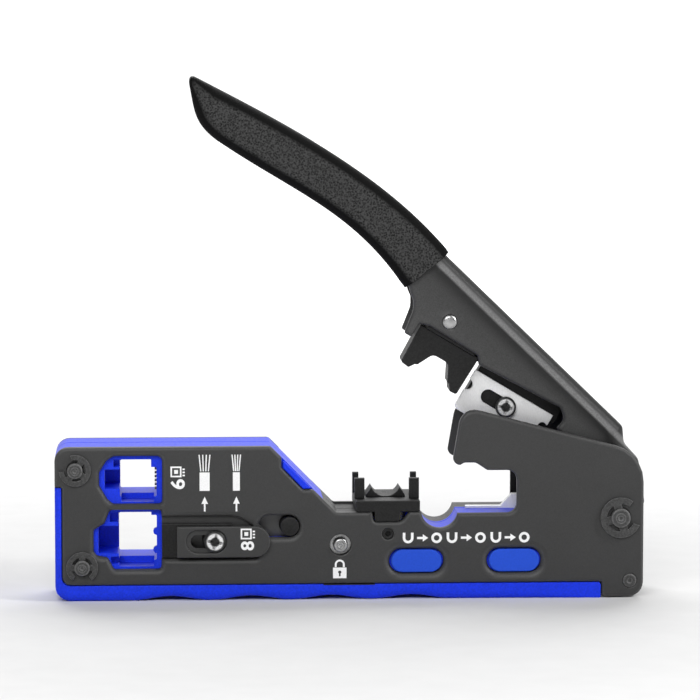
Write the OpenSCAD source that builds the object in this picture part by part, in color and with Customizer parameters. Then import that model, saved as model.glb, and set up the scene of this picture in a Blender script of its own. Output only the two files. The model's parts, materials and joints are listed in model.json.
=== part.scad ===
// Pass-through crimping tool for modular plugs: two steel side plates around a moulded
// blue housing, a sprung lever that pushes a ram, a cable cutter and a ferrule die.
// X runs along the tool, Y through its thickness (front face towards -Y), Z is up.
// The tool stands on its lower edge and is drawn with the lever open.

/* [Frame] */
// Length of the side plates and the housing
frame_len = 152.8; // [152:0.2:154]
// Height of the housing at the plug end
frame_h = 40.2; // [40:0.2:41]
// Thickness of one side plate
plate_t = 2; // [1.8:0.1:2]
// Clear gap between the two side plates
gap = 18; // [18:0.2:19]
// Height of the blue strip below the plates
strip_h = 4.2; // [4:0.1:4.4]
// Depth of the finger waves along the lower edge
wave_depth = 1.1; // [0.6:0.1:1.4]
// Length of one finger wave
wave_pitch = 20.8; // [20:0.2:21]

/* [Lever] */
// Angle that the lever swings through when it closes
swing = 30.5; // [28:0.5:31]
// Distance of the lever pivot from the middle of the tool
pivot_x = 69.9; // [69.8:0.1:70]
// Height of the lever pivot
pivot_z = 21.1; // [21:0.1:21.2]
// Outer width of the pressed steel channel
lever_w = 14; // [13.8:0.1:14]
// Sheet thickness of the lever
lever_t = 1.5; // [1.4:0.1:1.6]
// Width of the foam grip
grip_w = 16.8; // [16.4:0.2:17.2]
// Wall of the foam grip around the lever's edges
grip_wall = 1.2; // [1:0.1:1.4]

/* [Ram] */
// Distance of the drive pin from the lever pivot
crank = 8.9; // [8.7:0.1:8.9]
// Lean of the crank to the right of vertical while the lever is open
crank_lean = 9; // [8:0.5:10]
// Thickness of the long drive bar
bar_t = 4; // [3.6:0.1:4]
// Radius of the post that guides the ram in the plates' slots
post_r = 2.45; // [2.3:0.05:2.5]

/* [Crimping] */
// Middle height of the 8-contact punch
punch8_z = 15.6; // [15.5:0.1:15.8]
// Middle height of the 6-contact punch
punch6_z = 31.4; // [31.2:0.1:31.6]
// Spacing of the contacts in a modular plug
contact_pitch = 1.02; // [1:0.01:1.02]
// Middle of the ferrule dies along the tool
die_x = 9.1; // [9:0.1:9.2]
// Radius of the cable notch
notch_r = 4.8; // [4.6:0.1:5]

/* [Hidden] */
$fn = 64;

half_gap = gap / 2;
face = half_gap + plate_t;
left = -frame_len / 2 - 0.4;
right = frame_len / 2 - 0.4;
floor_z = 22.9;
cut_floor = 22.4;
pivot = [pivot_x, pivot_z];
notch = [22.8, 23.4];
notch_clear = 2.0;
wall = 2;
pocket = half_gap - wall;
end_pins_at = [[-71.5, 34.3], [-69.8, 9.0]];
corner_at = [72.4, 4.5];
lock_at = [-2.96, 14.4];
die_pin_at = [die_x + 0.26, 17.2];
screw_at = [-35.5, 15.7];
post_at = [-16.1, 19.3];
slot_r = 2.85;
slot_from = -21.4;
slot_to = -16.35;
pads_x = [16.8, 42.2];
pad_z = 10;
stroke = crank * (sin(crank_lean) + sin(swing - crank_lean));
drive_at = pivot + crank * [sin(crank_lean), cos(crank_lean)];
drive_r = 1.5;
blade_screw_closed = [30.6, 30.3];
die_pin_closed = [5.9, 42.4];
grip_top = [[25.5, 89.97], [9.02, 109.77], [-17.7, 123.59], [-40.9, 135.54]];
grip_low = [[13.98, 80.61], [0.8, 100.7], [-15.04, 105.66], [-34.45, 118.94]];
grip_tip = [[-34.45, 118.94], [-41, 123.74], [-40.23, 127.34], [-41.79, 134.23]];
channel_end = 0.86;
wave_end = 25.9;
wave_count = 4;
spring_r = 4.4;
spring_wire = 0.45;
slide_y = [-face - 1.5, -face - 0.1];
knife_y = [-face, -face + 1.4];

// A point of a cubic curve, and the same point moved sideways by d.
function bez(p, t) = pow(1 - t, 3) * p[0] + 3 * pow(1 - t, 2) * t * p[1]
    + 3 * (1 - t) * t * t * p[2] + pow(t, 3) * p[3];
function bez_dir(p, t) = pow(1 - t, 2) * (p[1] - p[0]) + 2 * (1 - t) * t * (p[2] - p[1])
    + t * t * (p[3] - p[2]);
function beside(p, t, d) = let (v = bez_dir(p, t) / norm(bez_dir(p, t))) bez(p, t)
    + d * [-v[1], v[0]];

// An outline of [x, z, r] corners, each rounded by its own radius.
function unit(v) = v / norm(v);
function xz(p) = [p[0], p[1]];
function corner(a, b, c, r) = let (
    u = unit(a - b), v = unit(c - b), half = acos(u * v) / 2,
    reach = r / tan(half), mid = b + unit(u + v) * r / sin(half),
    p = b + u * reach - mid, q = b + v * reach - mid,
    a0 = atan2(p[1], p[0]), turn = atan2(p[0] * q[1] - p[1] * q[0], p * q),
    n = max(2, round(abs(turn) / 15)))
    [for (i = [0:n]) mid + r * [cos(a0 + turn * i / n), sin(a0 + turn * i / n)]];
function rounded(pts) = let (n = len(pts)) [for (i = [0:n - 1])
    each (len(pts[i]) < 3 || pts[i][2] == 0 ? [xz(pts[i])]
        : corner(xz(pts[(i + n - 1) % n]), xz(pts[i]), xz(pts[(i + 1) % n]), pts[i][2]))];

// A flat piece between two depths, and a round one along Y.
module slab(y0, y1) {
    translate([0, y1, 0]) rotate([90, 0, 0]) linear_extrude(y1 - y0) children();
}
module rod(at, r, y0, y1) {
    translate([at[0], y1, at[1]]) rotate([90, 0, 0]) cylinder(r = r, h = y1 - y0);
}
module dot(at, r) {
    translate(at) circle(r = r);
}
module stadium(from, to, z, r) {
    dot([from, z], r);
    dot([to, z], r);
    translate([from, z - r]) square([to - from, 2 * r]);
}
// Turns a piece drawn with the lever closed to its place with the lever open.
module opened() {
    translate([pivot_x, 0, pivot_z]) rotate([0, swing, 0]) translate([-pivot_x, 0, -pivot_z])
        children();
}
module opened_2d() {
    translate(pivot) rotate(-swing) translate(-pivot) children();
}

// ---------- side plates ----------
module plate_outline() {
    difference() {
        polygon(rounded([
            [left, frame_h, 3.6], [-21.1, frame_h, 1.5], [-18.2, 37.3, 1], [-18.2, 34.7, 1],
            [-12.7, 28.9, 1], [-10.1, 28.9, 1], [-4.1, floor_z, 1.2], [5.3, floor_z, 0.4],
            [5.8, 20.3, 0.8], [12.9, 20.3, 2], [14.9, floor_z, 0.8], [notch[0], floor_z],
            [notch[0], cut_floor], [42.9, cut_floor, 2.6], [42.9, 33.6, 2.6], [35.2, 33.6, 1],
            [32.2, 35.6, 1.6], [29.2, 35.6, 1.2], [28.2, 35.0], [26.0, 35.0, 1.8],
            [28.6, 50.3, 4], [right, 37.9, 9.9], [right, 0.2, 3.9], [65.1, 0.2, 0.8],
            [65.1, strip_h, 0.5], [left + 1.8, strip_h, 2.2], [left + 1.8, 29.8, 0.5],
            [left, 29.8, 0.4]]));
        dot(notch, notch_r);
        for (p = end_pins_at) dot(p, 2.05);
        dot(pivot, 2.52);
        dot(corner_at, 1.82);
        dot(lock_at, 2.73);
        dot(die_pin_at, 1.52);
        stadium(slot_from, slot_to, post_at[1], slot_r);
        for (x = pads_x) stadium(x - 3.9, x + 3.9, pad_z, 3.7);
    }
}
module window_6p() {
    polygon(rounded([[-61.6, 37.8, 1.5], [-49.1, 37.8, 1.4], [-49.1, 25.4, 1], [-61.8, 25.4, 1.2],
        [-63.2, 26.6, 0.8], [-65.3, 30.2, 1.2], [-65.3, 33.6, 1.2], [-63.4, 36.6, 1]]));
}
module window_8p() {
    polygon(rounded([[-62.6, 23.8, 1.2], [-49.3, 23.8, 0.8], [-49.3, 8.3, 1], [-61.6, 8.3, 1],
        [-63.2, 11.4, 1], [-66.0, 11.9, 0.8], [-66.8, 13.0, 0.8], [-66.8, 18.6, 1],
        [-64.0, 20.3, 1]]));
}
module knife_pocket() {
    polygon(rounded([[-50.5, 22.0], [-29.5, 22.0, 6], [-24.3, 18.4, 1.5], [-24.3, 11.0, 1],
        [-50.5, 11.0]]));
}
module front_plate() {
    color([0.3, 0.3, 0.3]) slab(-face, -half_gap) difference() {
        plate_outline();
        window_6p();
        window_8p();
        knife_pocket();
    }
}
module rear_plate() {
    color([0.3, 0.3, 0.3]) slab(half_gap, face) difference() {
        plate_outline();
        window_6p();
        window_8p();
    }
}

// ---------- moulded housing ----------
function wave_edge() = let (steps = 12 * wave_count, span = wave_count * wave_pitch)
    [for (i = [0:steps]) [wave_end - span * i / steps,
        wave_depth * (1 - cos(360 * i / 12)) / 2]];
module housing_outline() {
    difference() {
        polygon(concat(
            rounded([[left, 0, 3.9], [left, frame_h, 3.6], [-21.1, frame_h, 0.8],
                [-3.7, cut_floor, 0.8], [44.5, cut_floor, 0.5], [44.5, 14.6, 0.8],
                [51.4, 14.6, 1], [51.4, strip_h], [64.9, strip_h, 1], [64.9, 0, 0.3],
                [wave_end, 0]]),
            [for (p = wave_edge()) if (p[0] < wave_end && p[0] > left + 4) p]));
        dot(notch, notch_r);
        translate([5.4, 20.3]) square([8.6, 5]);
    }
}
module housing_cavity() {
    difference() {
        polygon(rounded([[-74.4, 4.6, 1.5], [-74.4, 38, 1.5], [-22.2, 38, 1], [-7.0, 20.6, 1],
            [3.2, 20.6, 1], [3.2, 18.9], [16, 18.9], [16, 20.6], [41.8, 20.6], [41.8, 12.6],
            [53, 12.6], [53, 5.6], [43, 5.6, 1], [43, 4.6]]));
        dot(notch, notch_r + notch_clear);
    }
}
module anvil_outline() {
    polygon(rounded([[30.2, 17.6, 0.6], [44.2, 17.6, 0.6], [44.2, 26.2, 0.4], [42.4, 26.2],
        [39.4, 23], [30.2, 23, 0.3]]));
}
// One half of the housing, drawn for the front and mirrored for the rear.
module shell_half(front) {
    difference() {
        union() {
            slab(-half_gap, 0) housing_outline();
            slab(-face + 0.2, -half_gap) lip_outline();
            slab(-face + 0.4, -half_gap) polygon(rounded([[-17.9, 36.6, 0.3], [-10.4, 29.1, 0.2],
                [-12.6, 29.1, 0.4], [-17.9, 34.6, 0.6]]));
        }
        slab(-pocket, 0.01) housing_cavity();
        slab(-half_gap - 0.01, -pocket + 0.01) window_wall(front);
        slab(-1.1, 0.01) anvil_seat();
    }
    if (front) lock_cup();
    for (p = [[-56, 4.5], [-30, 4.5], [30, 4.5]]) rod(p, 1, -pocket, -pocket + 0.5);
}
module lip_outline() {
    intersection() {
        housing_outline();
        union() {
            translate([left - 1, -1]) square([64.9 - left + 1, strip_h + 0.9]);
            translate([left - 1, -1]) square([2.7, 30.7]);
            difference() {
                translate([left + 1.7, strip_h - 0.1]) square(2.3);
                dot([left + 4, strip_h + 2.2], 2.3);
            }
        }
    }
}
module anvil_seat() {
    translate([30.1, 17.5]) square([14.5, 6.2]);
}
module window_wall(front) {
    nest_8p_outline(0.1);
    nest_6p_outline(0.1);
    for (p = end_pins_at) dot(p, 2.1);
    dot(die_pin_at, 1.6);
    stadium(slot_from, slot_to, post_at[1], slot_r + 0.2);
    if (front) {
        stadium(screw_at[0] - stroke - 0.6, screw_at[0] + 0.6, screw_at[1], 3.3);
        dot(lock_at, 3.4);
    }
}
module lock_cup() {
    slab(-pocket, -3.1) difference() {
        dot(lock_at, 4.4);
        dot(lock_at, 3.4);
    }
    slab(-3.1, -2.5) difference() {
        dot(lock_at, 4.4);
        dot(lock_at, 2);
    }
}
module front_shell() {
    color([0.06, 0.16, 0.85]) shell_half(true);
}
module rear_shell() {
    color([0.06, 0.16, 0.85]) mirror([0, 1, 0]) shell_half(false);
}
module side_pads() {
    color([0.17, 0.33, 0.8]) for (side = [-1, 1], x = pads_x)
        slab(side > 0 ? half_gap : -face + 0.4, side > 0 ? face - 0.4 : -half_gap)
            stadium(x - 3.6, x + 3.6, pad_z, 2.95);
}

// ---------- plug nests ----------
module nest_8p_outline(grow) {
    polygon([[-63.4 - grow, 7.4 - grow], [-49.0 + grow, 7.4 - grow], [-49.0 + grow, 24.5],
        [-64.4 - grow, 24.5], [-67.6 - grow, 20.4], [-67.6 - grow, 11.6 - grow],
        [-65.0 - grow, 11.0 - grow]]);
}
module nest_6p_outline(grow) {
    polygon([[-64.2 - grow, 24.6], [-49.0 + grow, 24.6], [-49.0 + grow, 37.8 + grow],
        [-63.4 - grow, 37.8 + grow], [-66.2 - grow, 34.2 + grow], [-66.2 - grow, 29.6]]);
}
module nest_8p() {
    front = half_gap - 0.05;
    color([0.06, 0.16, 0.85]) difference() {
        slab(-front, front) nest_8p_outline(0);
        slab(-10, 10) polygon(rounded([[-60.4, 10.6, 0.5], [-60.4, 23.1, 0.4], [-51.9, 23.1],
            [-51.9, 22.3], [-50.5, 22.3, 0.3], [-50.5, 10.6, 0.5]]));
        slab(-10, -2) translate([-60.2, 8.9]) square([9.0, 2]);
        slab(-10, 3) translate([-65.6, 12.3]) square([5.4, 7.2]);
        slab(-10, -5.5) translate([-62.6, 20.6]) square([2.4, 2.5]);
        slab(-10, -5.5) translate([-62.4, 9.4]) square([2.4, 2.0]);
        translate([-51, -6.7, punch8_z - 4.6]) cube([3, 3.8, 9.2]);
    }
    for (z = [13.2, 18.0]) slab(-front, -6.8) dot([-50.5, z], 0.9);
}
module nest_6p() {
    front = half_gap - 0.05;
    color([0.06, 0.16, 0.85]) difference() {
        slab(-front, front) nest_6p_outline(0);
        slab(-10, 10) polygon(rounded([[-60.0, 27.2, 0.4], [-60.0, 36.8, 0.4], [-51.9, 36.8],
            [-51.9, 34.8], [-50.5, 34.8], [-50.5, 27.2, 0.4]]));
        slab(-10, -2) translate([-59.6, 25.8]) square([8.4, 1.6]);
        slab(-10, 3) translate([-63.9, 29.2]) square([4.1, 5.0]);
        slab(-10, -5.5) translate([-61.6, 34.9]) square([1.8, 1.9]);
        translate([-51, -6.7, punch6_z - 2.9]) cube([3, 3.8, 5.8]);
    }
}

// ---------- fixed dies, pins and clips ----------
module lower_die() {
    color([0.16, 0.16, 0.16]) {
        slab(-face + 0.1, face - 0.1) {
            polygon(rounded([[1.1, 23, 0.2], [5.95, 23], [5.95, 20.4, 0.7], [12.6, 20.4, 0.9],
                [12.6, 23], [17.7, 23, 0.2], [17.7, 25.9, 0.3], [1.1, 25.9, 0.3]]));
        }
        slab(-4, 4) difference() {
            polygon(rounded([[die_x - 5.1, 25.8], [die_x - 5.1, 26.4, 0.3], [die_x - 3.5, 28.7, 0.4],
                [die_x + 3.5, 28.7, 0.4], [die_x + 5.1, 26.4, 0.3], [die_x + 5.1, 25.8]]));
            dot([die_x, 30.1], 4.0);
        }
        for (x = [0.9, 15.1]) translate([x, -6.7, 25.8]) cube([2.6, 1.8, 5.4]);
        for (x = [0.9, 16.1]) translate([x, 4.9, 25.8]) cube([1.6, 1.8, 5.4]);
    }
}
module cutter_anvil() {
    color([0.8, 0.8, 0.82]) slab(-1, 1) anvil_outline();
}
module die_pin() {
    color([0.15, 0.15, 0.15]) rod(die_pin_at, 1.5, -face + 0.2, face - 0.2);
}
// A headed pin with a groove for its retaining clip at the front.
module headed_pin(at, r, head_r, head_t) {
    rod(at, r, -face - 0.15, face);
    rod(at, r - 0.55, -face - 0.95, -face - 0.15);
    rod(at, r, -face - 1.75, -face - 0.95);
    rod(at, head_r, face, face + head_t);
}
module e_clip(at, r, groove_r, turn) {
    slab(-face - 0.85, -face - 0.2) translate(at) rotate(turn) {
        difference() {
            circle(r = r);
            circle(r = r * 0.68);
            polygon([[0, 0], 2 * r * [cos(-38), sin(-38)], 2 * r * [cos(38), sin(38)]]);
        }
        for (a = [90, 180, 270]) rotate(a) difference() {
            translate([0, -r * 0.2]) square([r * 0.8, r * 0.4]);
            circle(r = groove_r + 0.03);
        }
    }
}
module end_pins() {
    color([0.35, 0.35, 0.35]) for (p = end_pins_at) headed_pin(p, 2.0, 3.4, 1.4);
}
module end_pin_clips() {
    color([0.25, 0.25, 0.25]) {
        e_clip(end_pins_at[0], 4.1, 1.45, 145);
        e_clip(end_pins_at[1], 4.1, 1.45, 270);
    }
}
module pivot_pin() {
    color([0.35, 0.35, 0.35]) headed_pin(pivot, 2.5, 4.6, 2.2);
}
module pivot_clip() {
    color([0.25, 0.25, 0.25]) e_clip(pivot, 5.3, 1.95, 15);
}
module pivot_bush() {
    color([0.75, 0.6, 0.3]) slab(-5.3, 5.3) difference() {
        dot(pivot, 3.4);
        dot(pivot, 2.55);
    }
}
module pivot_spacers() {
    color([0.6, 0.6, 0.62]) for (y = [-half_gap, lever_w / 2]) slab(y + 0.03, y + half_gap
        - lever_w / 2 - 0.03) difference() {
        dot(pivot, 4.8);
        dot(pivot, 2.55);
    }
}
module corner_rivet() {
    color([0.25, 0.25, 0.25]) {
        rod(corner_at, 1.8, -face - 0.2, face);
        rod(corner_at, 2.8, face, face + 1);
    }
}
module corner_spacer() {
    color([0.6, 0.6, 0.62]) slab(-half_gap, half_gap) difference() {
        dot(corner_at, 2.9);
        dot(corner_at, 1.82);
    }
}
// Torsion spring around the pivot bush: closed coils, one leg against the corner spacer
// and one up against the inside of the lever's back.
module return_spring() {
    color([0.7, 0.7, 0.72]) {
        for (i = [0:2]) translate([pivot_x, -4.8 + 0.95 * i, pivot_z]) rotate([90, 0, 0])
            rotate_extrude() translate([spring_r, 0]) circle(r = spring_wire, $fn = 24);
        translate([pivot_x - spring_r - 0.95, -4.8, 4.6]) cylinder(r = spring_wire, h = 16);
        translate([pivot_x + 4.1, -3.4, pivot_z + 3.6]) cylinder(r = spring_wire, h = 6.8);
    }
}

// ---------- ram and punches ----------
module ram_block() {
    color([0.5, 0.5, 0.52]) {
        slab(-6.4, -bar_t / 2 - 0.02) difference() {
            polygon(rounded([[-44, 9.4, 0.5], [-8.6, 9.4, 1], [-8.6, 22.6, 1.5], [-38.8, 22.6, 1.5],
                [-38.8, 36.6, 1], [-44, 36.6, 0.5]]));
            dot(post_at, post_r + 0.02);
            dot(screw_at, 1.47);
            for (x = [-29, -22]) dot([x, 13], 1.52);
        }
        slab(-8.8, -6.4) difference() {
            dot(screw_at, 3);
            dot(screw_at, 1.47);
        }
    }
}
module drive_bar() {
    color([0.62, 0.62, 0.64]) slab(-bar_t / 2, bar_t / 2) difference() {
        polygon(rounded([[-34, 9.4, 1], [-8, 9.4, 2], [-6, 7.2, 2], [66.1, 7.2, 3], [66.1, 25.2, 0.8],
            [74.1, 25.2, 0.8], [74.1, 31, 0.4], [drive_at[0] + 1.65, 31], [drive_at[0] + 1.65, 27.6, 0.6],
            [drive_at[0] - 1.65, 27.6, 0.6], [drive_at[0] - 1.65, 31], [59, 31, 2], [57.6, 12.2, 3],
            [8.4, 12.2, 1], [5.2, 17.8, 1], [-6, 17.8, 2], [-8.6, 22.6, 1.5], [-34, 22.6, 1]]));
        dot(post_at, post_r + 0.02);
        for (x = [-29, -22]) dot([x, 13], 1.52);
        dot(lock_at + [stroke, 0], 2.1);
    }
}
module ram_rivets() {
    color([0.7, 0.7, 0.72]) for (x = [-29, -22]) {
        rod([x, 13], 1.5, -6.4, bar_t / 2);
        rod([x, 13], 2.4, bar_t / 2, bar_t / 2 + 1);
    }
}
module guide_post() {
    color([0.12, 0.12, 0.12]) rod(post_at, post_r, -face + 0.05, face - 0.05);
}
// A punch with one thin blade for each contact.
module punch(z, contacts, height, tip) {
    translate([-44 - 5.4, -6.2, z - height / 2]) cube([5.4, 2.8, height]);
    for (i = [0:contacts - 1])
        translate([tip, -6.2, z + (i - (contacts - 1) / 2) * contact_pitch - 0.2])
            cube([-49.39 - tip, 2.8, 0.4]);
}
module punch_8p() {
    color([0.45, 0.45, 0.45]) punch(punch8_z, 8, 8.6, -50.4);
}
module punch_6p() {
    color([0.45, 0.45, 0.45]) punch(punch6_z, 6, 5.3, -51.0);
}
module knife_slide() {
    color([0.25, 0.25, 0.25]) difference() {
        slab(slide_y[0], slide_y[1]) difference() {
            polygon(rounded([[-45.3, 11.55, 0.2], [-21.2, 11.55, 4], [-21.2, 19.6, 4],
                [-45.3, 19.6, 0.2]]));
            stadium(-40.0, screw_at[0], screw_at[1], 1.75);
        }
        slab(slide_y[0] - 1, slide_y[0] + 0.6) stadium(-40.0, screw_at[0], screw_at[1], 2.96);
    }
}
module trim_knife() {
    color([0.1, 0.1, 0.1]) slab(knife_y[0], knife_y[1]) difference() {
        polygon([[-49.2, 11.7], [-31, 11.7], [-31, 20.2], [-49.2, 20.2]]);
        stadium(-40.0, screw_at[0], screw_at[1], 1.75);
    }
}
module phillips(depth, r) {
    for (a = [45, 135]) rotate(a) translate([-r, -0.28, 0]) cube([2 * r, 0.56, depth]);
}
module knife_screw() {
    head = slide_y[0] - 0.7;
    color([0.15, 0.15, 0.15]) difference() {
        union() {
            rod(screw_at, 1.45, slide_y[0] + 0.6, -2.2);
            rod(screw_at, 2.8, head, slide_y[0] + 0.6);
        }
        translate([screw_at[0], head - 0.01, screw_at[1]]) rotate([-90, 0, 0]) phillips(0.8, 1.6);
    }
}
module lock_button() {
    color([0.7, 0.7, 0.7]) {
        rod(lock_at, 1.9, -face - 0.8, -3.5);
        rod(lock_at, 3.1, -half_gap + 0.05, -half_gap + 0.85);
    }
}
module lock_spring() {
    color([0.75, 0.75, 0.77]) for (i = [0:3]) translate([lock_at[0], -7.8 + 1.35 * i, lock_at[1]])
        rotate([90, 0, 0]) rotate_extrude() translate([2.65, 0]) circle(r = 0.3, $fn = 20);
}

// ---------- lever ----------
module lever_outline() {
    polygon(concat(
        [for (i = [0:12]) beside(grip_top, channel_end * (1 - i / 12), grip_wall)],
        rounded([[24.81, 89.01], [71.1, 44.11, 2], [71.44, 39.81, 3], [75.27, 35.65, 3], [75.7, 32.85, 4],
            [76.72, 24.66, 1.2], [75.99, 22.45, 1], [75.44, 17.05, 4], [70.06, 14, 6], [62.65, 14.94, 6],
            [60.29, 33.42, 8], [53.6, 44.06, 0], [55.58, 46.28, 2.2], [54.55, 49.27, 1.5],
            [33.15, 60.68, 0.8], [32.93, 63.08, 1.5], [20.36, 70.87, 1.5], [17.76, 71.45, 0.4],
            [15.59, 68.03, 0.5], [13.78, 69.11, 0.6], [16.13, 75.03, 4], [16.1, 77.73, 1.5],
            [15.39, 79.33]]),
        [for (i = [0:12]) beside(grip_low, channel_end * i / 12, -grip_wall)]));
}
// The part of the outline along the lever's back, where the sheet turns across.
module back_strip() {
    intersection() {
        difference() {
            lever_outline();
            translate([-1.07, -1.07]) lever_outline();
        }
        union() {
            polygon([[-60, 150], [12, 96], [20, 82], [60, 42], [68, 34], [71, 18], [80, 18],
                [80, 50], [30, 110], [-20, 150]]);
        }
    }
}
module lever() {
    color([0.3, 0.3, 0.3]) {
        for (y = [-lever_w / 2, lever_w / 2 - lever_t]) slab(y, y + lever_t) difference() {
            lever_outline();
            dot(pivot, 2.56);
            dot(drive_at, drive_r + 0.02);
            opened_2d() dot(die_pin_closed, 1.82);
            if (y > 0) opened_2d() for (x = [26, 38]) dot([x, 39.7], 1.32);
        }
        slab(-lever_w / 2 + lever_t, lever_w / 2 - lever_t) back_strip();
    }
}
module grip_outline() {
    polygon(concat([for (i = [0:16]) bez(grip_top, i / 16)],
        [for (i = [1:8]) bez(grip_tip, 1 - i / 8)],
        [for (i = [1:15]) bez(grip_low, 1 - i / 16)], [grip_low[0]]));
}
module lever_grip() {
    color([0.13, 0.13, 0.13]) difference() {
        slab(-grip_w / 2, grip_w / 2) grip_outline();
        slab(-lever_w / 2 - 0.02, lever_w / 2 + 0.02) lever_outline();
    }
}
module upper_die() {
    color([0.14, 0.14, 0.14]) opened() {
        slab(-4.6, 4.6) polygon(rounded([[die_x - 9.1, 38], [die_x - 8.7, 27.0, 0.8],
            [die_x - 6.2, 26.7, 0.5], [die_x - 5.2, 28.2, 0.4], [die_x - 4.5, 28.5, 0.4],
            [die_x - 2.3, 32.8, 1.8], [die_x + 2.3, 32.8, 1.8], [die_x + 4.5, 28.5, 0.4],
            [die_x + 5.2, 28.2, 0.4], [die_x + 6.2, 26.7, 0.5], [die_x + 8.2, 26.8, 0.6],
            [die_x + 8.5, 38]]));
        slab(-5.4, 5.4) difference() {
            polygon(rounded([[1.6, 37.9], [16.2, 37.9], [13, 45.6, 1], [1.6, 45.6, 1]]));
            dot(die_pin_closed, 1.82);
        }
    }
}
module upper_die_pin() {
    color([0.75, 0.75, 0.77]) opened() rod(die_pin_closed, 1.8, -lever_w / 2 - 0.3,
        lever_w / 2 + 0.3);
}
module drive_pin() {
    color([0.7, 0.7, 0.72]) rod(drive_at, drive_r, -lever_w / 2 - 0.4, lever_w / 2 + 0.4);
}
module blade_carrier() {
    color([0.2, 0.2, 0.2]) opened() slab(0.55, lever_w / 2 - lever_t - 0.02) difference() {
        polygon(rounded([[19.6, 28, 0.5], [38.2, 28, 0.5], [44.0, 33, 0.5], [44.0, 36.6, 1],
            [41, 41.6, 1], [21, 41.6, 1], [19.6, 36.6, 0.5]]));
        dot(blade_screw_closed, 1.4);
        for (x = [26, 38]) dot([x, 39.7], 1.32);
    }
}
module carrier_rivets() {
    color([0.6, 0.6, 0.62]) opened() for (x = [26, 38]) {
        rod([x, 39.7], 1.3, 0.6, lever_w / 2);
        rod([x, 39.7], 2.2, lever_w / 2, lever_w / 2 + 0.8);
    }
}
module cutter_blade() {
    slot_left = 25.3;
    color([0.85, 0.85, 0.86]) opened() slab(-0.5, 0.5) difference() {
        polygon(rounded([[18.8, 34.8, 0.2], [18.8, 24.1, 0.3], [19.8, 23.3, 0], [38.2, 23.3, 0],
            [41.6, 30.2, 0.2], [42.6, 31.8, 0.2], [42.6, 34.6, 0.2]]));
        dot([18.8, 30.4], 1.5);
        dot([41.6, 30.6], 1.2);
        stadium(slot_left, blade_screw_closed[0], blade_screw_closed[1], 1.9);
    }
}
module blade_screw() {
    color([0.3, 0.3, 0.3]) opened() difference() {
        union() {
            rod(blade_screw_closed, 1.38, -0.6, 4.8);
            rod(blade_screw_closed, 2.7, -2.0, -0.52);
        }
        translate([blade_screw_closed[0], -2.01, blade_screw_closed[1]]) rotate([-90, 0, 0])
            phillips(0.8, 1.6);
    }
}

front_plate();
rear_plate();
front_shell();
rear_shell();
side_pads();
nest_8p();
nest_6p();
lower_die();
cutter_anvil();
die_pin();
end_pins();
end_pin_clips();
pivot_pin();
pivot_clip();
pivot_bush();
pivot_spacers();
corner_rivet();
corner_spacer();
return_spring();
ram_block();
drive_bar();
ram_rivets();
guide_post();
punch_8p();
punch_6p();
knife_slide();
trim_knife();
knife_screw();
lock_button();
lock_spring();
lever();
lever_grip();
upper_die();
upper_die_pin();
drive_pin();
blade_carrier();
carrier_rivets();
cutter_blade();
blade_screw();
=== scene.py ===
"""Looks of the crimping tool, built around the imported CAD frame. Metres, X along the tool, Z up, front
towards -Y."""
import json
import math

import bmesh
import bpy
from mathutils import Matrix, Vector
from mathutils.geometry import delaunay_2d_cdt


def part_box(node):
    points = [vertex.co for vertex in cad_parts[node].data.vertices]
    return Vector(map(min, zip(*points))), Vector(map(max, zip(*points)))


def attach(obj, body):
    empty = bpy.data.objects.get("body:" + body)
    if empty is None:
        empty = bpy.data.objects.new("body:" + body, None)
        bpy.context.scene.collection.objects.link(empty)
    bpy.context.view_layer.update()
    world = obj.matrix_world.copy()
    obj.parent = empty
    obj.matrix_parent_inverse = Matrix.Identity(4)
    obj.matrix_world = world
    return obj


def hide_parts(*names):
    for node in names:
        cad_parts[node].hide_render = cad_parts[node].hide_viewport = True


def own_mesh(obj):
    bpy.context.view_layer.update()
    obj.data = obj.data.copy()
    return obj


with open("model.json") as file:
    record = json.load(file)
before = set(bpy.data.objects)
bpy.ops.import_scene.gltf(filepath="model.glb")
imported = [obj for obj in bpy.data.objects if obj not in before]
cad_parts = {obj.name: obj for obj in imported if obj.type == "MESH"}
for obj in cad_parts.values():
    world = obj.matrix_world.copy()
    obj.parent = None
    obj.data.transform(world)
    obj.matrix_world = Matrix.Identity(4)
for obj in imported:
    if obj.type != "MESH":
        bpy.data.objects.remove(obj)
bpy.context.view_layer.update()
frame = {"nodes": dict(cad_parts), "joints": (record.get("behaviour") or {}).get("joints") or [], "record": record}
MM = 0.001
SAME_POINT = 2e-6  # points closer than this are one
SPREAD = 0.0012  # how far a rounding spreads along a straight edge

# ---------------- places taken from the frame
JOINTS = {j["name"]: j for j in frame["joints"]}
PIVOT = Vector(JOINTS["lever_swing"]["pos_m"])
SWING = math.radians(JOINTS["lever_swing"]["range_deg"][1])
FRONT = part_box("front_plate")[0].y
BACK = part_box("rear_plate")[1].y
PLATE_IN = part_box("front_plate")[1].y
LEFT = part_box("front_shell")[0].x


def middle(node):
    """The middle of a CAD node's box."""
    low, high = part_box(node)
    return (low + high) / 2


def opened(x, z):
    """Where a point drawn for the closed lever, in millimetres, lies while the lever is open."""
    p = Vector((x * MM - PIVOT.x, 0, z * MM - PIVOT.z))
    p.rotate(Matrix.Rotation(SWING, 3, "Y"))
    return Vector((p.x + PIVOT.x, p.z + PIVOT.z))


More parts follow.
